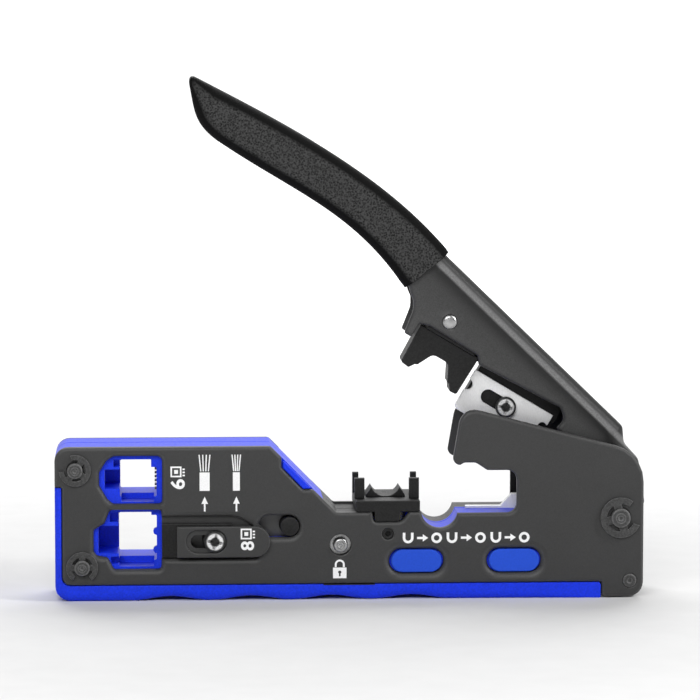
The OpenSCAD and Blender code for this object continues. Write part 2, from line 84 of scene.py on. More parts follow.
# ---------------- shader helpers
class Shader:
    """A small wrapper that adds nodes to a material by name."""

    def __init__(self, name):
        self.mat = bpy.data.materials.new(name)
        self.mat.use_nodes = True
        self.tree = self.mat.node_tree
        self.bsdf = self.tree.nodes["Principled BSDF"]
        texture = self.add("ShaderNodeTexCoord")
        self.coords = texture.outputs["Object"]
        self.normal = texture.outputs["Normal"]

    def add(self, kind, **values):
        """A node of that kind, with plain values on its inputs."""
        node = self.tree.nodes.new(kind)
        for key, value in values.items():
            node.inputs[key].default_value = value
        return node

    def put(self, value, socket):
        """Links an output to the socket, or sets a plain value on it."""
        if isinstance(value, bpy.types.NodeSocket):
            self.tree.links.new(value, socket)
        else:
            socket.default_value = value

    def operate(self, kind, operation, values):
        node = self.add(kind)
        node.operation = operation
        for value, socket in zip(values, node.inputs):
            self.put(value, socket)
        return node.outputs

    def number(self, operation, *values):
        """The result of a maths node."""
        return self.operate("ShaderNodeMath", operation, values)[0]

    def vector(self, operation, *values):
        """The result of a vector maths node: a number for a length or a dot product."""
        result = "Value" if operation in ("LENGTH", "DOT_PRODUCT") else "Vector"
        return self.operate("ShaderNodeVectorMath", operation, values)[result]

    def split(self, vector):
        node = self.add("ShaderNodeSeparateXYZ")
        self.put(vector, node.inputs[0])
        return node.outputs

    def scaled(self, size, stretch=(1, 1, 1)):
        """The object's coordinates, counted in steps of `size` metres."""
        mapping = self.add("ShaderNodeMapping", Scale=[s / size for s in stretch])
        self.put(self.coords, mapping.inputs["Vector"])
        return mapping.outputs[0]

    def noise(self, size, detail=2.0, stretch=(1, 1, 1), rough=0.5):
        """A noise whose features are about `size` metres across."""
        noise = self.add("ShaderNodeTexNoise", Scale=1.0, Detail=detail, Roughness=rough)
        self.put(self.scaled(size, stretch), noise.inputs["Vector"])
        return noise.outputs["Fac"]

    def cells(self, size):
        """The distance from the middles of cells that are about `size` metres across."""
        node = self.add("ShaderNodeTexVoronoi", Scale=1.0)
        self.put(self.scaled(size), node.inputs["Vector"])
        return node.outputs["Distance"]

    def stops(self, source, stops):
        """Colours or greys along the source, from pairs of place and value."""
        ramp = self.add("ShaderNodeValToRGB")
        elements = ramp.color_ramp.elements
        while len(elements) < len(stops):
            elements.new(1.0)
        for element, (place, value) in zip(elements, stops):
            element.position = place
            element.color = (*value, 1) if isinstance(value, tuple) else (value, value, value, 1)
        self.put(source, ramp.inputs["Fac"])
        return ramp.outputs["Color"]

    def ramp(self, source, low, high, start=0.3, end=0.7):
        """Colours or greys from low to high while the source goes from start to end."""
        return self.stops(source, ((start, low), (end, high)))

    def mix(self, factor, a, b, blend="MIX"):
        node = self.add("ShaderNodeMix")
        node.data_type = "RGBA"
        node.blend_type = blend
        for value, place in ((factor, 0), (a, 6), (b, 7)):
            self.put(value, node.inputs[place])
        return node.outputs[2]

    def both(self, a, b):
        return self.mix(1.0, a, b, "MULTIPLY")

    def facing(self):
        """1 on faces that look along Y, 0 on faces that look sideways."""
        return self.number("ABSOLUTE", self.split(self.normal)["Y"])

    def edges(self):
        """White on the roundings between the flat faces and the rims: a mask for edges lightened by wear and by a
        painted highlight.
        """
        facing = self.facing()
        return self.both(self.ramp(facing, 1.0, 0.0, 0.9, 0.985), self.ramp(facing, 0.0, 1.0, 0.05, 0.4))

    def finish(self, color, rough, bump, strength, depth, metal=0.0, **values):
        """Links colour, roughness and bump, and sets uniform values on the shader itself."""
        self.put(color, self.bsdf.inputs["Base Color"])
        self.put(rough, self.bsdf.inputs["Roughness"])
        self.bsdf.inputs["Metallic"].default_value = metal
        node = self.add("ShaderNodeBump", Strength=strength, Distance=depth)
        self.put(bump, node.inputs["Height"])
        self.put(node.outputs["Normal"], self.bsdf.inputs["Normal"])
        for key, value in values.items():
            self.bsdf.inputs[key.replace("_", " ")].default_value = value
        return self.mat


# ---------------- materials
COAT_GRAIN = 0.00032
PLASTIC_GRAIN = 0.0005
LEVER_BACK = Vector((71.1, 0, 44.1)) * MM
LEVER_BACK_FACES = Vector((0.696, 0, 0.718))
LEVER_SHADED_DEPTH = 0.03
SCREW_RADIUS = 0.003


def coat(s, grain, color):
    """The grain and gloss that the plates' and the lever's coat share."""
    return s.finish(color, s.ramp(grain, 0.42, 0.56), grain, 0.22, 0.00006, Specular_IOR_Level=0.35)


def coated_steel(name, tone):
    """A satin coat of slightly cloudy tone, lighter along its edges: rubbed by wear and with a painted highlight
    on the roundings.
    """
    s = Shader(name)
    grain = s.noise(COAT_GRAIN, 3)
    cloud = s.noise(0.02, 2)
    color = s.mix(0.5, s.ramp(grain, tone * 0.78, tone * 1.25), s.ramp(cloud, tone * 0.92, tone * 1.1))
    # lighter on the roundings: wear together with a painted highlight
    return coat(s, grain, s.mix(s.edges(), color, s.ramp(grain, tone * 1.2, tone * 1.9)))


def lever_painted_light_coat(name, tone):
    """The plates' coat on the lever, with painted light in bands along its round back: a painted highlight on the
    ridge beside the bend, painted shade in the crease behind it and on the outer band, and painted light growing
    towards the lower edge."""
    s = Shader(name)
    grain = s.noise(COAT_GRAIN, 3)
    offset = s.vector("SUBTRACT", LEVER_BACK, s.coords)
    depth = s.vector("DOT_PRODUCT", offset, LEVER_BACK_FACES / LEVER_SHADED_DEPTH)
    # bands across the lever from its back: painted shade, a painted highlight on the ridge, painted shade in the
    # crease, then painted light rising towards the lower edge
    shares = ((0.0, 0.5), (0.055, 0.55), (0.075, 3.6), (0.105, 4.0), (0.125, 0.4), (0.155, 0.35),
              (0.24, 0.85), (0.85, 1.5))
    painted_light_bands = s.stops(depth, [(place, tone * share) for place, share in shares])
    return coat(s, grain, s.both(painted_light_bands, s.ramp(grain, 0.75, 1.25)))


def shades(color, dark, light):
    """A darker and a lighter version of a colour."""
    return tuple(c * dark for c in color), tuple(min(1, c * light) for c in color)


def plastic(s, grain, color, rough_low, rough_high):
    return s.finish(color, s.ramp(grain, rough_low, rough_high), grain, 0.12, 0.00006,
                    Specular_IOR_Level=0.12)


def moulded(name, color, rough):
    s = Shader(name)
    grain = s.noise(PLASTIC_GRAIN, 3)
    cloud = s.noise(0.03, 2)
    dark, light = shades(color, 0.9, 1.06)
    mixed = s.mix(0.5, s.ramp(cloud, dark, light), s.ramp(grain, dark, light, 0.35, 0.65))
    return plastic(s, grain, mixed, rough - 0.06, rough + 0.08)


def housing_plastic(name, color, start_x, start_y, whole_until_x):
    """The moulded blue. Its upward faces are black to the right of start_x: whole until whole_until_x, from
    there on only behind start_y."""
    s = Shader(name)
    grain = s.noise(PLASTIC_GRAIN, 3)
    dark, light = shades(color, 0.88, 1.08)
    place = s.split(s.coords)
    right = s.number("GREATER_THAN", place["X"], start_x)
    whole = s.number("LESS_THAN", place["X"], whole_until_x)
    depth = s.number("MULTIPLY_ADD", whole, 0.02, place["Y"])
    behind = s.number("GREATER_THAN", depth, start_y)
    upward = s.number("GREATER_THAN", s.split(s.normal)["Z"], 0.05)
    black = s.number("MULTIPLY", s.number("MULTIPLY", right, behind), upward)
    mixed = s.mix(black, s.ramp(grain, dark, light, 0.35, 0.65), s.ramp(grain, 0.012, 0.02, 0.35, 0.65))
    return plastic(s, grain, mixed, 0.34, 0.46)


def black_oxide(name, tone, rough=0.42):
    s = Shader(name)
    grain = s.noise(0.0004, 4)
    # lighter on the roundings: wear together with a painted highlight
    color = s.mix(s.edges(), s.ramp(grain, tone * 0.7, tone * 1.5), s.ramp(grain, tone * 1.6, tone * 3))
    return s.finish(color, s.ramp(grain, rough, rough + 0.18), grain, 0.25, 0.00008, Specular_IOR_Level=0.2)


def worn_screw(name, x, z):
    """Black oxide, rubbed down to bright steel in a ring around the cross, away from the outer edge."""
    s = Shader(name)
    grain = s.noise(0.0003, 3)
    offset = s.split(s.vector("SUBTRACT", s.coords, (x, 0, z)))
    flat = s.add("ShaderNodeCombineXYZ")
    for axis in "XZ":
        s.put(offset[axis], flat.inputs[axis])
    away = s.number("MULTIPLY", s.vector("LENGTH", flat.outputs[0]), 1 / SCREW_RADIUS)
    ring = s.both(s.ramp(away, 0.0, 1.0, 0.36, 0.46), s.ramp(away, 1.0, 0.0, 0.66, 0.76))
    rubbed = s.both(ring, s.ramp(s.facing(), 0.0, 1.0, 0.8, 0.95))
    color = s.mix(rubbed, s.ramp(grain, 0.015, 0.03), s.ramp(grain, 0.55, 0.9))
    return s.finish(color, s.ramp(grain, 0.32, 0.48), grain, 0.15, 0.00005, Specular_IOR_Level=0.4)


def steel(name, tone, rough, stretch=(1, 1, 1), grain_size=0.0006, strength=0.08, metal=1.0):
    s = Shader(name)
    grain = s.noise(grain_size, 4, stretch)
    cloud = s.noise(0.004, 3)
    color = s.mix(0.5, s.ramp(cloud, tone * 0.9, min(1, tone * 1.06)),
                  s.ramp(grain, tone * 0.86, min(1, tone * 1.1)))
    return s.finish(color, s.ramp(grain, rough - 0.05, rough + 0.12), grain, strength, 0.00004, metal)


def bronze(name):
    s = Shader(name)
    grain = s.noise(0.0003, 4)
    return s.finish(s.ramp(grain, (0.42, 0.27, 0.1), (0.62, 0.42, 0.18)), 0.4, grain, 0.15, 0.00005, 1.0)


def foam_grip(name):
    """Grained flat faces between smooth edges darkened with painted shade, told apart by which way the surface
    faces.
    """
    s = Shader(name)
    fine = s.noise(0.0004, 3, rough=0.6)
    grain = s.mix(0.5, s.ramp(fine, 0.0, 1.0), s.ramp(s.cells(0.00055), 0.0, 1.0, 0.0, 0.8))
    flat = s.ramp(s.facing(), 0.0, 1.0, 0.88, 0.995)
    # the rounded shoulders get near-black without grain: painted shade
    color = s.mix(flat, s.ramp(fine, 0.003, 0.007), s.ramp(grain, 0.008, 0.056, 0.3, 0.75))
    return s.finish(color, s.ramp(fine, 0.62, 0.8), grain, 0.35, 0.00012, Specular_IOR_Level=0.06)


def print_white(name):
    s = Shader(name)
    grain = s.noise(0.0002, 3)
    return s.finish(s.ramp(grain, 0.78, 0.93, 0.25, 0.6), 0.6, grain, 0.1, 0.00002)


def studio_floor(name):
    """A matt white floor with painted light: it glows more and more further away from the tool, so it stays darker
    near the tool.
    """
    s = Shader(name)
    grain = s.noise(0.01, 3)
    away = s.vector("LENGTH", s.coords)
    # painted light: the floor's glow rises with the distance from the tool
    painted_glow = s.mix(1.0, s.ramp(away, 0.0, 0.35, 0.13, 0.5), s.ramp(away, 0.0, 0.7, 0.5, 0.9), "ADD")
    s.bsdf.inputs["Emission Color"].default_value = (1, 1, 1, 1)
    s.put(painted_glow, s.bsdf.inputs["Emission Strength"])
    return s.finish(s.ramp(grain, 0.68, 0.7), 0.8, grain, 0.02, 0.0001, Specular_IOR_Level=0.1)


MATERIALS = {
    "plate_coat": coated_steel("plate_coat", 0.036),
    "housing_blue": housing_plastic("housing_blue", (0.012, 0.042, 0.74), -0.0074, 0.0015, 0.006),
    "pad_blue": moulded("pad_blue", (0.02, 0.08, 0.60), 0.5),
    "lever_painted_light_coat": lever_painted_light_coat("lever_painted_light_coat", 0.04),
    "die_black": black_oxide("die_black", 0.012),
    "bright_steel": steel("bright_steel", 0.9, 0.42, (3, 3, 0.5), 0.0004, 0.03, 0.5),
    "rivet_steel": steel("rivet_steel", 0.42, 0.3, (1, 1, 1), 0.0003, 0.1),
    "dark_steel": black_oxide("dark_steel", 0.05, 0.36),
    "plain_steel": steel("plain_steel", 0.1, 0.4, (6, 1, 1)),
    "spring_steel": steel("spring_steel", 0.6, 0.25),
    "bronze": bronze("bronze"),
    "grip_foam": foam_grip("grip_foam"),
    "print_white": print_white("print_white"),
}
SLOT_OF = {row["node"]: row["material_slot"] for row in frame["record"]["subparts"]}
BODIES = frame["record"]["behaviour"]["bodies"]
BODY_OF = {node: body for body, nodes in BODIES.items() for node in nodes}


# ---------------- mesh helpers
def linked(name, data):
    """A new object of the scene."""
    obj = bpy.data.objects.new(name, data)
    bpy.context.scene.collection.objects.link(obj)
    return obj


def mesh_from(node):
    """A CAD node's mesh, with its corners joined."""
    bm = bmesh.new()
    bm.from_mesh(frame["nodes"][node].data)
    bmesh.ops.remove_doubles(bm, verts=bm.verts, dist=SAME_POINT)
    return bm


def settle(obj, node, slot=None):
    """Puts a finished piece on its node's body, with the node's material unless another slot is named."""
    slot = slot or SLOT_OF[node]
    obj.data.materials.clear()
    obj.data.materials.append(MATERIALS[slot])
    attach(obj, BODY_OF[node])
    return obj


def replace(obj, node, slot=None):
    """Settles a piece that stands for the whole node."""
    settle(obj, node, slot)
    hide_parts(node)


def new_object(name, bm, smooth_angle=30, keep=False):
    """An object from bm. With keep, faces that are not smooth yet stay flat."""
    mesh = bpy.data.meshes.new(name)
    bmesh.ops.recalc_face_normals(bm, faces=bm.faces)
    bm.to_mesh(mesh)
    bm.free()
    obj = linked(name, mesh)
    shade(obj, smooth_angle, keep)
    return obj


def shade(obj, angle, keep=False):
    mesh = obj.data
    flat = [not poly.use_smooth for poly in mesh.polygons] if keep else [False] * len(mesh.polygons)
    mesh.polygons.foreach_set("use_smooth", [True] * len(mesh.polygons))
    mesh.set_sharp_from_angle(angle=math.radians(angle))
    mesh.polygons.foreach_set("use_smooth", [not f for f in flat])


def dress(node, width, segments=2):
    """A copy of a CAD node with its flat faces whole again and its edges rounded by width, in millimetres."""
    bm = mesh_from(node)
    bmesh.ops.dissolve_limit(bm, angle_limit=math.radians(0.6), verts=bm.verts, edges=bm.edges)
    layer = bm.edges.layers.float.new("bevel_weight_edge")
    for edge in bm.edges:
        if len(edge.link_faces) == 2 and edge.calc_face_angle(0) > math.radians(28):
            edge[layer] = 1.0
    obj = new_object(f"{node}_piece", bm)
    bevel = obj.modifiers.new("round", "BEVEL")
    bevel.limit_method = "WEIGHT"
    bevel.width = width * MM
    bevel.segments = segments
    bevel.use_clamp_overlap = False
    bevel.miter_outer = "MITER_ARC"
    bevel.loop_slide = False
    bake_modifiers(obj)
    shade(obj, 32)
    flat_normals(obj)
    replace(obj, node)


def bake_modifiers(obj):
    graph = bpy.context.evaluated_depsgraph_get()
    graph.update()
    mesh = bpy.data.meshes.new_from_object(obj.evaluated_get(graph))
    obj.modifiers.clear()
    obj.data = mesh


def flat_loops_of(node, y, facing=None):
    """Closed outlines, in metres, of the node's faces that lie flat at depth y and face that way along Y.
    The material lies to the left of each outline, seen from the front. The longest outline comes first."""
    facing = facing or (-1 if y < 0 else 1)
    bm = mesh_from(node)
    bm.normal_update()
    bm.faces.index_update()
    flat = [f for f in bm.faces
            if f.normal.y * facing > 0.99 and all(abs(v.co.y - y) < SAME_POINT for v in f.verts)]
    chosen = {f.index for f in flat}
    follow = {}
    for face in flat:
        for loop in face.loops:
            if sum(f.index in chosen for f in loop.edge.link_faces) == 1:
                follow.setdefault(loop.vert, []).append(loop.link_loop_next.vert)
    loops = []
    while follow:
        here = next(iter(follow))
        loop = []
        while here in follow:
            loop.append((here.co.x, here.co.z))
            after = follow[here].pop()
            if not follow[here]:
                del follow[here]
            here = after
        loops.append(tidy_loop(loop if facing < 0 else loop[::-1]))
    bm.free()
    return sorted((loop for loop in loops if len(loop) > 2), key=lambda loop: -abs(flat_area(loop)))


def flat_area(loop):
    return sum(a[0] * b[1] - b[0] * a[1] for a, b in zip(loop, loop[1:] + loop[:1])) / 2


def tidy_loop(loop, near=3e-5, turn=0.004):
    """Leaves out points that nearly coincide or lie on a straight line."""
    points = [Vector(p) for p in loop]
    kept = [p for i, p in enumerate(points) if (p - points[i - 1]).length > near]
    out = []
    for i, p in enumerate(kept):
        a = (p - kept[i - 1]).normalized()
        b = (kept[(i + 1) % len(kept)] - p).normalized()
        if abs(a.x * b.y - a.y * b.x) > turn or a.dot(b) < 0:
            out.append(p)
    return [(p.x, p.y) for p in out]


def dense(loop, reach):
    """The outline with extra points on its long straights, near both ends, so that roundings stay local."""
    out = []
    for i, p in enumerate(loop):
        a, b = Vector(p), Vector(loop[(i + 1) % len(loop)])
        length = (b - a).length
        out.append((a.x, a.y))
        if length > reach * 3:
            for share in (reach / length, 0.5, 1 - reach / length):
                q = a.lerp(b, share)
                out.append((q.x, q.y))
        elif length > reach * 1.2:
            q = a.lerp(b, 0.5)
            out.append((q.x, q.y))
    return out


def inward(loop):
    """For each point, its direction into the material and how far it can move before an edge closes up."""
    n = len(loop)
    points = [Vector(p) for p in loop]
    along = [(points[(i + 1) % n] - points[i]).normalized() for i in range(n)]
    turns = [math.atan2(along[i - 1].x * along[i].y - along[i - 1].y * along[i].x, along[i - 1].dot(along[i]))
             for i in range(n)]
    room = []
    for i in range(n):
        closing = math.tan(turns[i] / 2) + math.tan(turns[(i + 1) % n] / 2)
        length = (points[(i + 1) % n] - points[i]).length
        room.append(length / closing if closing > 1e-6 else 1.0)
    dirs, limits = [], []
    for i in range(n):
        one = Vector((-along[i - 1].y, along[i - 1].x))
        two = Vector((-along[i].y, along[i].x))
        dirs.append((one + two) / (1 + one.dot(two)))
        limits.append(0.92 * min(room[i - 1], room[i]))
    return dirs, limits


def inset(loop, amounts):
    dirs, limits = inward(loop)
    return [(p[0] + d.x * min(a, lim), p[1] + d.y * min(a, lim))
            for p, d, lim, a in zip(loop, dirs, limits, amounts)]


def ring_of(bm, loop, ys):
    return [bm.verts.new((p[0], y, p[1])) for p, y in zip(loop, ys)]


def bridge(bm, one, two):
    for i in range(len(one)):
        j = (i + 1) % len(one)
        bm.faces.new((one[i], one[j], two[j], two[i])).smooth = True


def inside(point, loop):
    hit = False
    for a, b in zip(loop, loop[1:] + loop[:1]):
        if (a.z > point.z) != (b.z > point.z) and point.x < a.x + (point.z - a.z) / (b.z - a.z) * (b.x - a.x):
            hit = not hit
    return hit


def boundary(rings):
    """The points of several outlines in one list, and the edges between them as pairs of places in it."""
    edges, start = [], 0
    for ring in rings:
        edges += [(start + i, start + (i + 1) % len(ring)) for i in range(len(ring))]
        start += len(ring)
    return [v for ring in rings for v in ring], edges


def face_centre(coords, face):
    centre = sum((Vector(coords[k]) for k in face), Vector((0, 0))) / len(face)
    return Vector((centre.x, 0, centre.y))


def cap(bm, rings):
    """Fills the flat faces between outlines and the holes in them, and keeps them flat."""
    verts, edges = boundary(rings)
    shapes = [[v.co.copy() for v in ring] for ring in rings]
    points = [Vector((v.co.x, v.co.z)) for v in verts]
    coords, _, faces, origin = delaunay_2d_cdt(points, edges, [], 0, 1e-9)[:4]
    made = [verts[source[0]] if source else bm.verts.new((place.x, verts[0].co.y, place.y))
            for place, source in zip(coords, origin)]
    for face in faces:
        centre = face_centre(coords, face)
        corners = [made[k] for k in face]
        if sum(inside(centre, shape) for shape in shapes) % 2 and len(set(corners)) > 2:
            bm.faces.new(corners)


def round_slab(bm, loops, y_face, y_back, sizes, back_size=0.0, steps=5):
    """A slab between two depths. sizes gives for each outline the (inset, depth) of its front rounding in
    metres, or a function of the point that gives them."""
    side = 1 if y_back > y_face else -1
    fronts, backs = [], []
    for loop, size in zip(loops, sizes):
        loop = dense(loop, SPREAD)
        amounts = [size(p) if callable(size) else size for p in loop]
        rings = []
        if back_size:
            far = inset(loop, [back_size] * len(loop))
            rings.append(ring_of(bm, far, [y_back] * len(loop)))
        rings.append(ring_of(bm, loop, [y_back - side * back_size] * len(loop)))
        for k in range(steps + 1):
            a = math.radians(90 * k / steps)
            moved = inset(loop, [w * (1 - math.cos(a)) for w, _ in amounts])
            ys = [y_face + side * d * (1 - math.sin(a)) for _, d in amounts]
            rings.append(ring_of(bm, moved, ys))
        for one, two in zip(rings, rings[1:]):
            bridge(bm, one, two)
        backs.append(rings[0])
        fronts.append(rings[-1])
    cap(bm, fronts)
    cap(bm, backs)


def add_slab(bm, node, y_face, y_back, size, back_size=0.0, steps=5, facing=None):
    """Adds a slab between two depths, in millimetres, with the outlines that the node has at y_face."""
    loops = flat_loops_of(node, y_face * MM, facing)
    if not isinstance(size, list):
        size = [size]
    sizes = [as_metres(v) for v in size] + [as_metres(size[-1])] * (len(loops) - len(size))
    round_slab(bm, loops, y_face * MM, y_back * MM, sizes[:len(loops)], back_size * MM, steps)


def as_metres(size):
    return size if callable(size) else (size[0] * MM, size[1] * MM)


def slabs(node, levels):
    """A piece in place of a CAD node that is a stack of slabs. Each level is what add_slab takes next."""
    bm = bmesh.new()
    for level in levels:
        add_slab(bm, node, *level)
    finish_slabs(bm, node)


def finish_slabs(bm, node, angle=40):
    obj = new_object(f"{node}_piece", bm, angle, keep=True)
    flat_normals(obj)
    replace(obj, node)
    return obj


def flat_normals(obj):
    normals = obj.modifiers.new("flat_normals", "WEIGHTED_NORMAL")
    normals.keep_sharp = True


def lathe(name, profile, x, z, steps=48):
    """Turns a profile of (y, radius) points in millimetres around an axis along Y through x, z in metres."""
    bm = bmesh.new()
    rings = []
    for y, r in profile:
        if r <= 0:
            rings.append([bm.verts.new((x, y * MM, z))])
            continue
        rings.append([bm.verts.new((x + r * MM * math.cos(a), y * MM, z + r * MM * math.sin(a)))
                      for a in (2 * math.pi * i / steps for i in range(steps))])
    for one, two in zip(rings, rings[1:]):
        for i in range(steps):
            j = (i + 1) % steps
            if len(one) == 1:
                bm.faces.new((one[0], two[j], two[i]))
            elif len(two) == 1:
                bm.faces.new((one[i], one[j], two[0]))
            else:
                bm.faces.new((one[i], one[j], two[j], two[i]))
    return new_object(name, bm, 35)


def tube(name, points, radius, sides=12):
    """A round wire of that radius along points, all in metres."""
    bm = bmesh.new()
    rings = []
    normal = None
    for i, p in enumerate(points):
        ahead = points[min(i + 1, len(points) - 1)] - points[max(i - 1, 0)]
        ahead.normalize()
        if normal is None:
            normal = ahead.orthogonal().normalized()
        normal = (normal - ahead * normal.dot(ahead)).normalized()
        side = ahead.cross(normal)
        rings.append([bm.verts.new(p + radius * (math.cos(a) * normal + math.sin(a) * side))
                      for a in (2 * math.pi * k / sides for k in range(sides))])
    for one, two in zip(rings, rings[1:]):
        for k in range(sides):
            bm.faces.new((one[k], one[(k + 1) % sides], two[(k + 1) % sides], two[k]))
    bm.faces.new(rings[0])
    bm.faces.new(list(reversed(rings[-1])))
    return new_object(name, bm, 50)


def join(objects, name):
    """One object from several, with their meshes kept as separate shells."""
    bm = bmesh.new()
    for obj in objects:
        bm.from_mesh(obj.data)
        bpy.data.objects.remove(obj)
    return new_object(name, bm, 35)


def bezier(p, t):
    u = 1 - t
    return u ** 3 * p[0] + 3 * u * u * t * p[1] + 3 * u * t * t * p[2] + t ** 3 * p[3]


# ---------------- plates and housing
def extent(loop):
    """How wide and how tall an outline is."""
    xs, zs = [p[0] for p in loop], [p[1] for p in loop]
    return max(xs) - min(xs), max(zs) - min(zs)


RIM_ROUNDING = (0.9, 0.9)
PAD_ROUNDING = (2.1, 1.7)
WINDOW_ROUNDING = (1.4, 1.3)
HOLE_ROUNDING = (0.4, 0.4)


def plate_holes(loops):
    """A plate's outlines and their roundings, (inset, depth) in millimetres. The openings around the pads are
    pressed in, close up to the pads."""
    outlines, sizes = [loops[0]], [RIM_ROUNDING]
    for loop in loops[1:]:
        wide, tall = extent(loop)
        if wide > 13 * MM and tall < 9 * MM:
            outlines.append(inset(loop, [-0.6 * MM] * len(loop)))
            sizes.append(PAD_ROUNDING)
        else:
            outlines.append(loop)
            sizes.append(WINDOW_ROUNDING if wide > 7.5 * MM else HOLE_ROUNDING)
    return outlines, sizes


def make_plates():
    """Pressed plates: a rounded outer edge, broader roundings around the windows, pocket and pad openings."""
    for node, side in (("front_plate", -1), ("rear_plate", 1)):
        y_face, y_back = side * abs(FRONT), side * abs(PLATE_IN)
        outlines, sizes = plate_holes(flat_loops_of(node, y_face))
        bm = bmesh.new()
        round_slab(bm, outlines, y_face, y_back, [as_metres(v) for v in sizes])
        if side < 0:
            pocket_floor(bm)
        finish_slabs(bm, node)
    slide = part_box("knife_slide")
    front, back = slide[0].y / MM, slide[1].y / MM
    slabs("knife_slide", [(front, back, (0.35, 0.35)), (front + 0.6, back, (0.05, 0.05))])
    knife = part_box("trim_knife")
    slabs("trim_knife", [(knife[0].y / MM, knife[1].y / MM, (0.2, 0.2))])


def pocket_floor(bm):
    """The bottom of the knife's pocket, with a long hole for the ram's screw."""
    screw, window, slide = middle("knife_screw"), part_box("nest_8p"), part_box("knife_slide")
    stroke = JOINTS["ram_stroke"]["range_m"][1]
    x0, x1 = window[1].x - 0.0002, slide[1].x - 0.0002
    z0, z1 = slide[0].z - 0.0006, slide[1].z + 0.0025
    floor = [(x0, z0), (x1 - 0.0018, z0), (x1 - 0.0018, z1 - 0.003), (x1 - 0.006, z1), (x0, z1)]
    r, left = 0.003, screw.x - stroke
    hole = [(screw.x + r * math.cos(a), screw.z + r * math.sin(a)) for a in turns(-90, 90)]
    hole += [(left + r * math.cos(a), screw.z + r * math.sin(a)) for a in turns(90, 270)]
    y = PLATE_IN
    round_slab(bm, [floor, hole[::-1]], y - 0.0003, y, [(0.00005, 0.00005)] * 2)


def turns(a0, a1, steps=12):
    return [math.radians(a0 + (a1 - a0) * i / steps) for i in range(steps + 1)]


STRIP_TURN_Z = 0.0025
STRIP_END_X = 0.060
STRIP_FADE = 0.018


def clamp(value):
    """The value kept between 0 and 1."""
    return min(1.0, max(0.0, value))


def lip_rounding(p):
    """The blue strip turns under along its wavy lower edge, and fades out towards its right end."""
    x, z = p
    if z < STRIP_TURN_Z:
        share = clamp((STRIP_END_X - x) / STRIP_FADE) * clamp((STRIP_TURN_Z - z) / 0.0012)
        return 0.00035 + 0.0017 * share, 0.00035 + 0.0012 * share
    if x < LEFT + 0.0004:
        return 0.0009, 0.0009
    return 0.00025, 0.00025


def open_seam(bm, outline, width=0.00028):
    """Draws the seam's outer edge in by a little, so that the two halves meet in a fine groove."""
    bmesh.ops.bisect_plane(bm, geom=bm.verts[:] + bm.edges[:] + bm.faces[:], dist=1e-7,
                           plane_co=(0, -width, 0), plane_no=(0, 1, 0))
    dirs, limits = inward(outline)
    place = {(round(p[0], 6), round(p[1], 6)): d * min(width, limit)
             for p, d, limit in zip(outline, dirs, limits)}
    for vert in bm.verts:
        if abs(vert.co.y) < 1e-6:
            step = place.get((round(vert.co.x, 6), round(vert.co.z, 6)))
            if step:
                vert.co += Vector((step.x, 0, step.y))


def mirror_depth(bm):
    bmesh.ops.scale(bm, verts=bm.verts, vec=(1, -1, 1))
    bmesh.ops.reverse_faces(bm, faces=bm.faces)


def make_housing():
    """Each half is cut at the plate's depth, and its blue strip and pads are built again with roundings."""
    for node, side in (("front_shell", -1), ("rear_shell", 1)):
        lip = max(abs(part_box(node)[0].y), abs(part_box(node)[1].y)) / MM
        step, pad = abs(PLATE_IN) / MM, lip - 0.2
        bm = mesh_from(node)
        if side > 0:
            mirror_depth(bm)
        open_seam(bm, flat_loops_of(node, 0.0, -side)[0])
        bmesh.ops.bisect_plane(bm, geom=bm.verts[:] + bm.edges[:] + bm.faces[:], dist=1e-7,
                               plane_co=(0, -step * MM, 0), plane_no=(0, -1, 0), clear_outer=True)
        if side > 0:
            mirror_depth(bm)
        add_slab(bm, node, side * lip, side * step, lip_rounding, steps=6)
        add_slab(bm, node, side * pad, side * step, (0.3, 0.3))
        finish_slabs(bm, node, 30)
    for node in ("nest_8p", "nest_6p"):
        dress(node, 0.15)
    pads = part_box("side_pads")[1].y / MM
    slabs("side_pads", [(side * pads, side * abs(PLATE_IN) / MM, (0.35, 0.3)) for side in (-1, 1)])


def make_flat_parts():
    """Dies, blade, clips, bar and ram: flat parts with lightly broken edges."""
    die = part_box("lower_die")[1].y / MM
    slabs("lower_die", [(-die, die, (0.3, 0.3), 0.3), (-4, 4, (0.25, 0.25), 0.25),
                        (-6.7, -4.9, (0.2, 0.2), 0.2), (6.7, 4.9, (0.2, 0.2), 0.2)])
    slabs("upper_die", [(-4.6, 4.6, (0.35, 0.35), 0.35), (-5.4, 5.4, (0.2, 0.2), 0.2)])
    slabs("cutter_anvil", [(-1, 1, (0.12, 0.12), 0.12)])
    slabs("blade_carrier", [(0.55, 5.48, (0.2, 0.2), 0.2, 5, -1)])
    slabs("cutter_blade", [(-0.5, 0.5, ground_edge, 0.05)])
    for node in ("end_pin_clips", "pivot_clip"):
        low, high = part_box(node)
        slabs(node, [(low.y / MM, high.y / MM, (0.14, 0.14), 0.1)])
    slabs("drive_bar", [(-2, 2, (0.25, 0.25), 0.25)])
    slabs("ram_block", [(-6.4, -2.02, (0.25, 0.25), 0.25), (-8.8, -6.4, (0.2, 0.2))])


BEVEL_TOP = 0.0242


def ground_edge(p):
    """The blade is ground thin along its cutting edge, which lies level when the lever is closed."""
    back = Vector((p[0] - PIVOT.x, 0, p[1] - PIVOT.z))
    back.rotate(Matrix.Rotation(-SWING, 3, "Y"))
    return (0.0016, 0.0004) if back.z + PIVOT.z < BEVEL_TOP else (0.00008, 0.00008)


